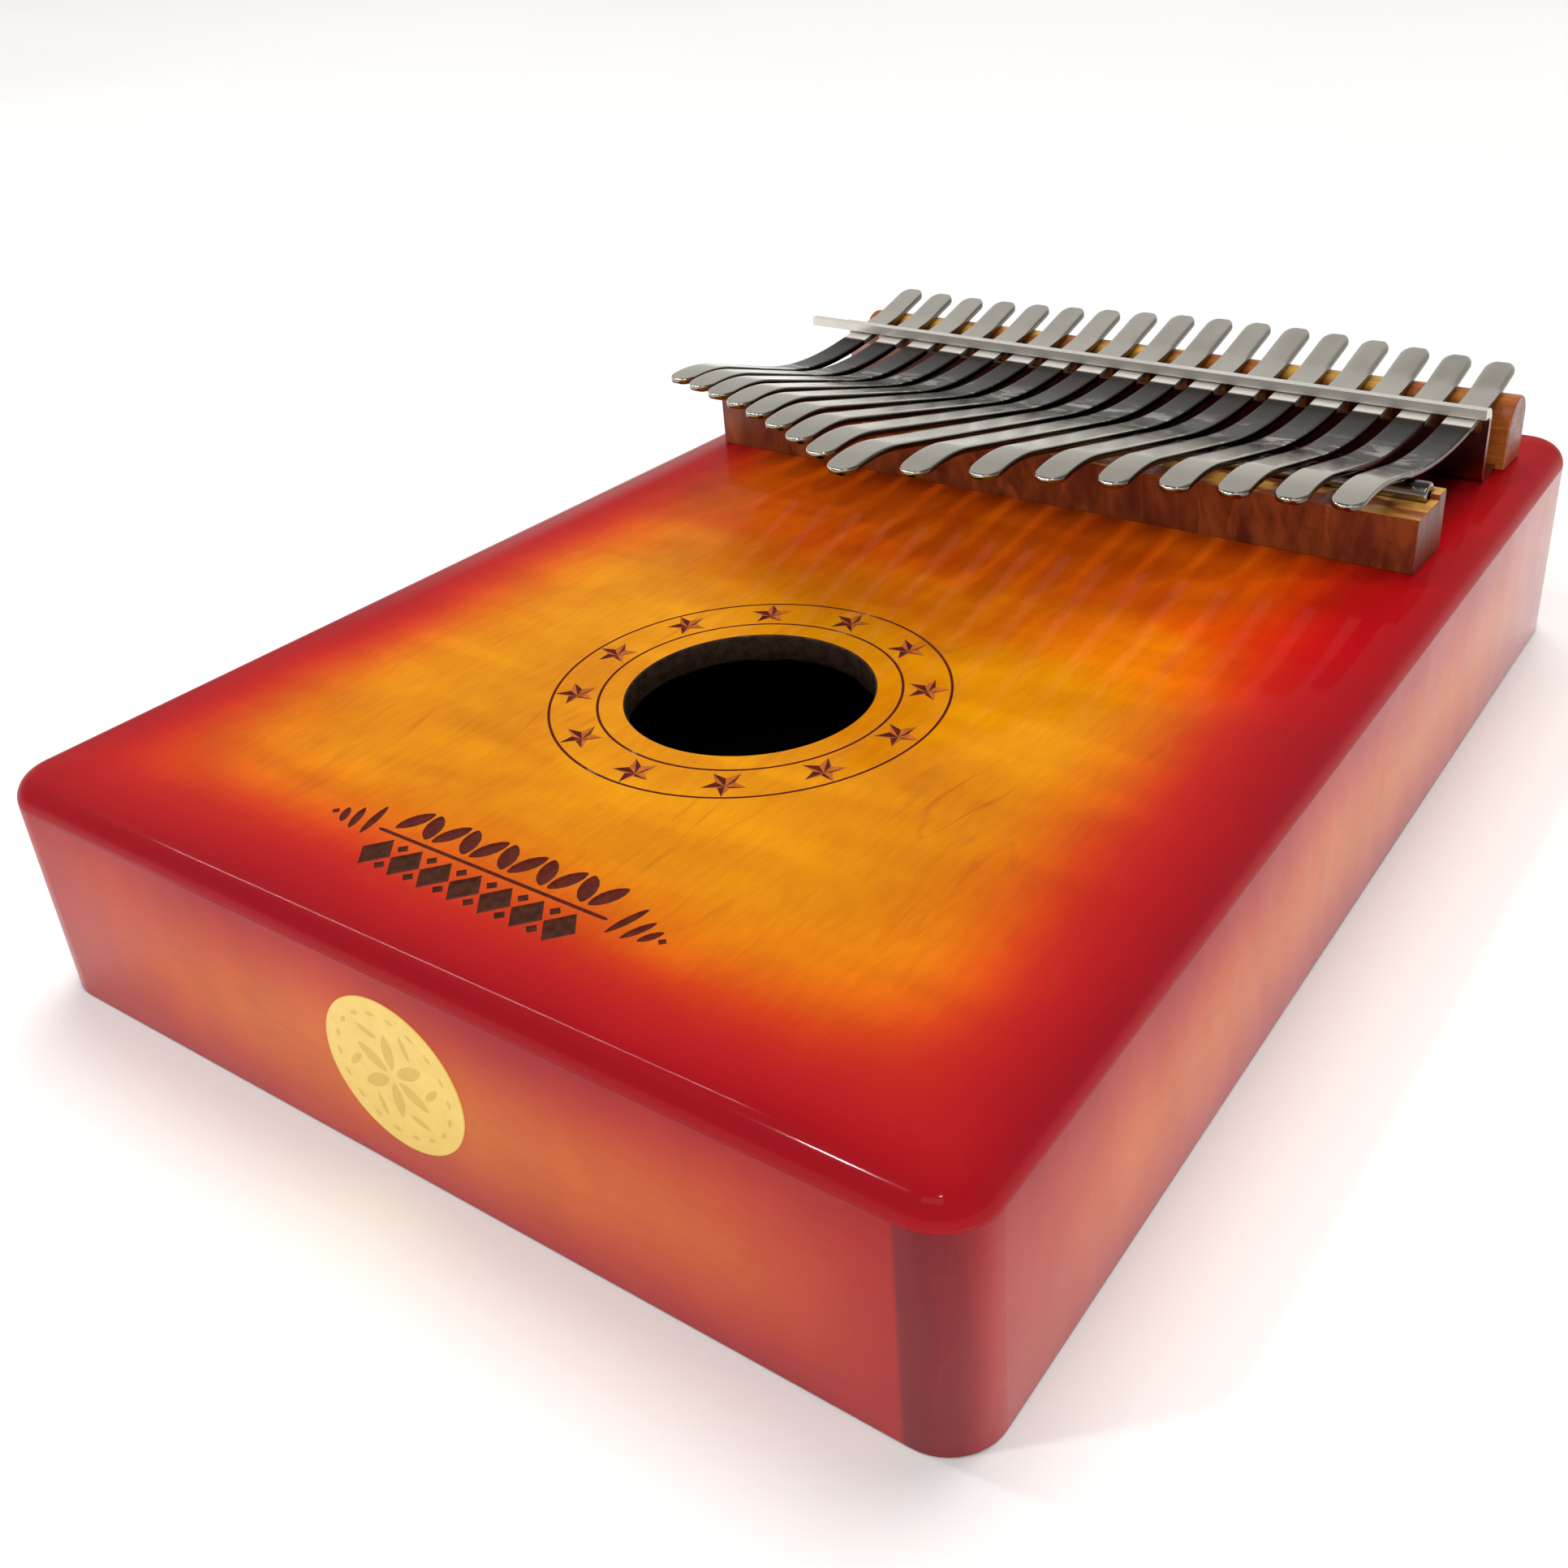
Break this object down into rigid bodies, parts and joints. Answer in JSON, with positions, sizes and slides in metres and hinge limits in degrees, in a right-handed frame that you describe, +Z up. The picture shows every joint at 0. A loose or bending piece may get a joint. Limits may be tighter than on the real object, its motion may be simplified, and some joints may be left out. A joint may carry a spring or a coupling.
{
  "type": "box thumb piano",
  "caption": "Hollow lacquered wooden box with a round sound hole and a row of flat steel tines clamped over two bridges, plucked with the thumbs.",
  "frame": {"origin": "middle of the underside of the box", "axes": "+X along the short ends, +Y from the sound hole towards the clamped ends of the tines, +Z up through the soundboard"},
  "size_m": [0.1336, 0.1851, 0.0517],
  "materials": {
    "sunburst_top": "clear gloss lacquer over figured maple, orange-yellow middle shading to red at the rolled edge",
    "sunburst_side": "clear gloss lacquer over maple, orange middle shading to red along both edges",
    "bridge_wood": "oiled reddish brown hardwood",
    "raw_wood": "bare, sanded",
    "polished_steel": "polished spring steel",
    "bracket_steel": "polished plated sheet steel",
    "gold_label": "smooth foil paper"
  },
  "bodies": {
    "box": {"soundboard": "sunburst_top", "back_plate": "sunburst_side", "left_side": "sunburst_side", "right_side": "sunburst_side", "near_end": "sunburst_side", "far_end": "sunburst_side", "bridge_brace": "raw_wood", "front_bridge": "bridge_wood", "bridge_rod": "polished_steel", "pressure_bracket": "bracket_steel", "bracket_screws": "bracket_steel", "back_bridge": "bridge_wood", "label": "gold_label"},
    "tine_root_01": {"tine_root_01": "polished_steel"},
    "tine_01": {"tine_01": "polished_steel"},
    "tine_root_02": {"tine_root_02": "polished_steel"},
    "tine_02": {"tine_02": "polished_steel"},
    "tine_root_03": {"tine_root_03": "polished_steel"},
    "tine_03": {"tine_03": "polished_steel"},
    "tine_root_04": {"tine_root_04": "polished_steel"},
    "tine_04": {"tine_04": "polished_steel"},
    "tine_root_05": {"tine_root_05": "polished_steel"},
    "tine_05": {"tine_05": "polished_steel"},
    "tine_root_06": {"tine_root_06": "polished_steel"},
    "tine_06": {"tine_06": "polished_steel"},
    "tine_root_07": {"tine_root_07": "polished_steel"},
    "tine_07": {"tine_07": "polished_steel"},
    "tine_root_08": {"tine_root_08": "polished_steel"},
    "tine_08": {"tine_08": "polished_steel"},
    "tine_root_09": {"tine_root_09": "polished_steel"},
    "tine_09": {"tine_09": "polished_steel"},
    "tine_root_10": {"tine_root_10": "polished_steel"},
    "tine_10": {"tine_10": "polished_steel"},
    "tine_root_11": {"tine_root_11": "polished_steel"},
    "tine_11": {"tine_11": "polished_steel"},
    "tine_root_12": {"tine_root_12": "polished_steel"},
    "tine_12": {"tine_12": "polished_steel"},
    "tine_root_13": {"tine_root_13": "polished_steel"},
    "tine_13": {"tine_13": "polished_steel"},
    "tine_root_14": {"tine_root_14": "polished_steel"},
    "tine_14": {"tine_14": "polished_steel"},
    "tine_root_15": {"tine_root_15": "polished_steel"},
    "tine_15": {"tine_15": "polished_steel"},
    "tine_root_16": {"tine_root_16": "polished_steel"},
    "tine_16": {"tine_16": "polished_steel"},
    "tine_root_17": {"tine_root_17": "polished_steel"},
    "tine_17": {"tine_17": "polished_steel"}
  },
  "joints": [
    {"name": "tune_01", "type": "slide", "parent": "box", "child": "tine_root_01", "axis": [0, 1, 0], "range_m": [-0.0006, 0.0006]},
    {"name": "pluck_01", "type": "hinge", "parent": "tine_root_01", "child": "tine_01", "pos_m": [-0.0504, 0.0413, 0.03815], "axis": [1, 0, 0], "range_deg": [-3, 4], "stiffness_Nm_per_rad": 6.63},
    {"name": "tune_02", "type": "slide", "parent": "box", "child": "tine_root_02", "axis": [0, 1, 0], "range_m": [-0.0006, 0.0006]},
    {"name": "pluck_02", "type": "hinge", "parent": "tine_root_02", "child": "tine_02", "pos_m": [-0.0441, 0.0413, 0.03815], "axis": [1, 0, 0], "range_deg": [-3, 4], "stiffness_Nm_per_rad": 5.81},
    {"name": "tune_03", "type": "slide", "parent": "box", "child": "tine_root_03", "axis": [0, 1, 0], "range_m": [-0.0006, 0.0006]},
    {"name": "pluck_03", "type": "hinge", "parent": "tine_root_03", "child": "tine_03", "pos_m": [-0.0378, 0.0413, 0.03815], "axis": [1, 0, 0], "range_deg": [-3, 4], "stiffness_Nm_per_rad": 5.15},
    {"name": "tune_04", "type": "slide", "parent": "box", "child": "tine_root_04", "axis": [0, 1, 0], "range_m": [-0.0006, 0.0006]},
    {"name": "pluck_04", "type": "hinge", "parent": "tine_root_04", "child": "tine_04", "pos_m": [-0.0315, 0.0413, 0.03815], "axis": [1, 0, 0], "range_deg": [-3, 4], "stiffness_Nm_per_rad": 4.6},
    {"name": "tune_05", "type": "slide", "parent": "box", "child": "tine_root_05", "axis": [0, 1, 0], "range_m": [-0.0006, 0.0006]},
    {"name": "pluck_05", "type": "hinge", "parent": "tine_root_05", "child": "tine_05", "pos_m": [-0.0252, 0.0413, 0.03815], "axis": [1, 0, 0], "range_deg": [-3, 4], "stiffness_Nm_per_rad": 4.15},
    {"name": "tune_06", "type": "slide", "parent": "box", "child": "tine_root_06", "axis": [0, 1, 0], "range_m": [-0.0006, 0.0006]},
    {"name": "pluck_06", "type": "hinge", "parent": "tine_root_06", "child": "tine_06", "pos_m": [-0.0189, 0.0413, 0.03815], "axis": [1, 0, 0], "range_deg": [-3, 4], "stiffness_Nm_per_rad": 3.76},
    {"name": "tune_07", "type": "slide", "parent": "box", "child": "tine_root_07", "axis": [0, 1, 0], "range_m": [-0.0006, 0.0006]},
    {"name": "pluck_07", "type": "hinge", "parent": "tine_root_07", "child": "tine_07", "pos_m": [-0.0126, 0.0413, 0.03815], "axis": [1, 0, 0], "range_deg": [-3, 4], "stiffness_Nm_per_rad": 3.43},
    {"name": "tune_08", "type": "slide", "parent": "box", "child": "tine_root_08", "axis": [0, 1, 0], "range_m": [-0.0006, 0.0006]},
    {"name": "pluck_08", "type": "hinge", "parent": "tine_root_08", "child": "tine_08", "pos_m": [-0.0063, 0.0413, 0.03815], "axis": [1, 0, 0], "range_deg": [-3, 4], "stiffness_Nm_per_rad": 3.14},
    {"name": "tune_09", "type": "slide", "parent": "box", "child": "tine_root_09", "axis": [0, 1, 0], "range_m": [-0.0006, 0.0006]},
    {"name": "pluck_09", "type": "hinge", "parent": "tine_root_09", "child": "tine_09", "pos_m": [0, 0.0413, 0.03815], "axis": [1, 0, 0], "range_deg": [-3, 4], "stiffness_Nm_per_rad": 2.89},
    {"name": "tune_10", "type": "slide", "parent": "box", "child": "tine_root_10", "axis": [0, 1, 0], "range_m": [-0.0006, 0.0006]},
    {"name": "pluck_10", "type": "hinge", "parent": "tine_root_10", "child": "tine_10", "pos_m": [0.0063, 0.0413, 0.03815], "axis": [1, 0, 0], "range_deg": [-3, 4], "stiffness_Nm_per_rad": 3.28},
    {"name": "tune_11", "type": "slide", "parent": "box", "child": "tine_root_11", "axis": [0, 1, 0], "range_m": [-0.0006, 0.0006]},
    {"name": "pluck_11", "type": "hinge", "parent": "tine_root_11", "child": "tine_11", "pos_m": [0.0126, 0.0413, 0.03815], "axis": [1, 0, 0], "range_deg": [-3, 4], "stiffness_Nm_per_rad": 3.75},
    {"name": "tune_12", "type": "slide", "parent": "box", "child": "tine_root_12", "axis": [0, 1, 0], "range_m": [-0.0006, 0.0006]},
    {"name": "pluck_12", "type": "hinge", "parent": "tine_root_12", "child": "tine_12", "pos_m": [0.0189, 0.0413, 0.03815], "axis": [1, 0, 0], "range_deg": [-3, 4], "stiffness_Nm_per_rad": 4.29},
    {"name": "tune_13", "type": "slide", "parent": "box", "child": "tine_root_13", "axis": [0, 1, 0], "range_m": [-0.0006, 0.0006]},
    {"name": "pluck_13", "type": "hinge", "parent": "tine_root_13", "child": "tine_13", "pos_m": [0.0252, 0.0413, 0.03815], "axis": [1, 0, 0], "range_deg": [-3, 4], "stiffness_Nm_per_rad": 4.93},
    {"name": "tune_14", "type": "slide", "parent": "box", "child": "tine_root_14", "axis": [0, 1, 0], "range_m": [-0.0006, 0.0006]},
    {"name": "pluck_14", "type": "hinge", "parent": "tine_root_14", "child": "tine_14", "pos_m": [0.0315, 0.0413, 0.03815], "axis": [1, 0, 0], "range_deg": [-3, 4], "stiffness_Nm_per_rad": 5.65},
    {"name": "tune_15", "type": "slide", "parent": "box", "child": "tine_root_15", "axis": [0, 1, 0], "range_m": [-0.0006, 0.0006]},
    {"name": "pluck_15", "type": "hinge", "parent": "tine_root_15", "child": "tine_15", "pos_m": [0.0378, 0.0413, 0.03815], "axis": [1, 0, 0], "range_deg": [-3, 4], "stiffness_Nm_per_rad": 6.45},
    {"name": "tune_16", "type": "slide", "parent": "box", "child": "tine_root_16", "axis": [0, 1, 0], "range_m": [-0.0006, 0.0006]},
    {"name": "pluck_16", "type": "hinge", "parent": "tine_root_16", "child": "tine_16", "pos_m": [0.0441, 0.0413, 0.03815], "axis": [1, 0, 0], "range_deg": [-3, 4], "stiffness_Nm_per_rad": 7.31},
    {"name": "tune_17", "type": "slide", "parent": "box", "child": "tine_root_17", "axis": [0, 1, 0], "range_m": [-0.0006, 0.0006]},
    {"name": "pluck_17", "type": "hinge", "parent": "tine_root_17", "child": "tine_17", "pos_m": [0.0504, 0.0413, 0.03815], "axis": [1, 0, 0], "range_deg": [-3, 4], "stiffness_Nm_per_rad": 8.16}
  ]
}
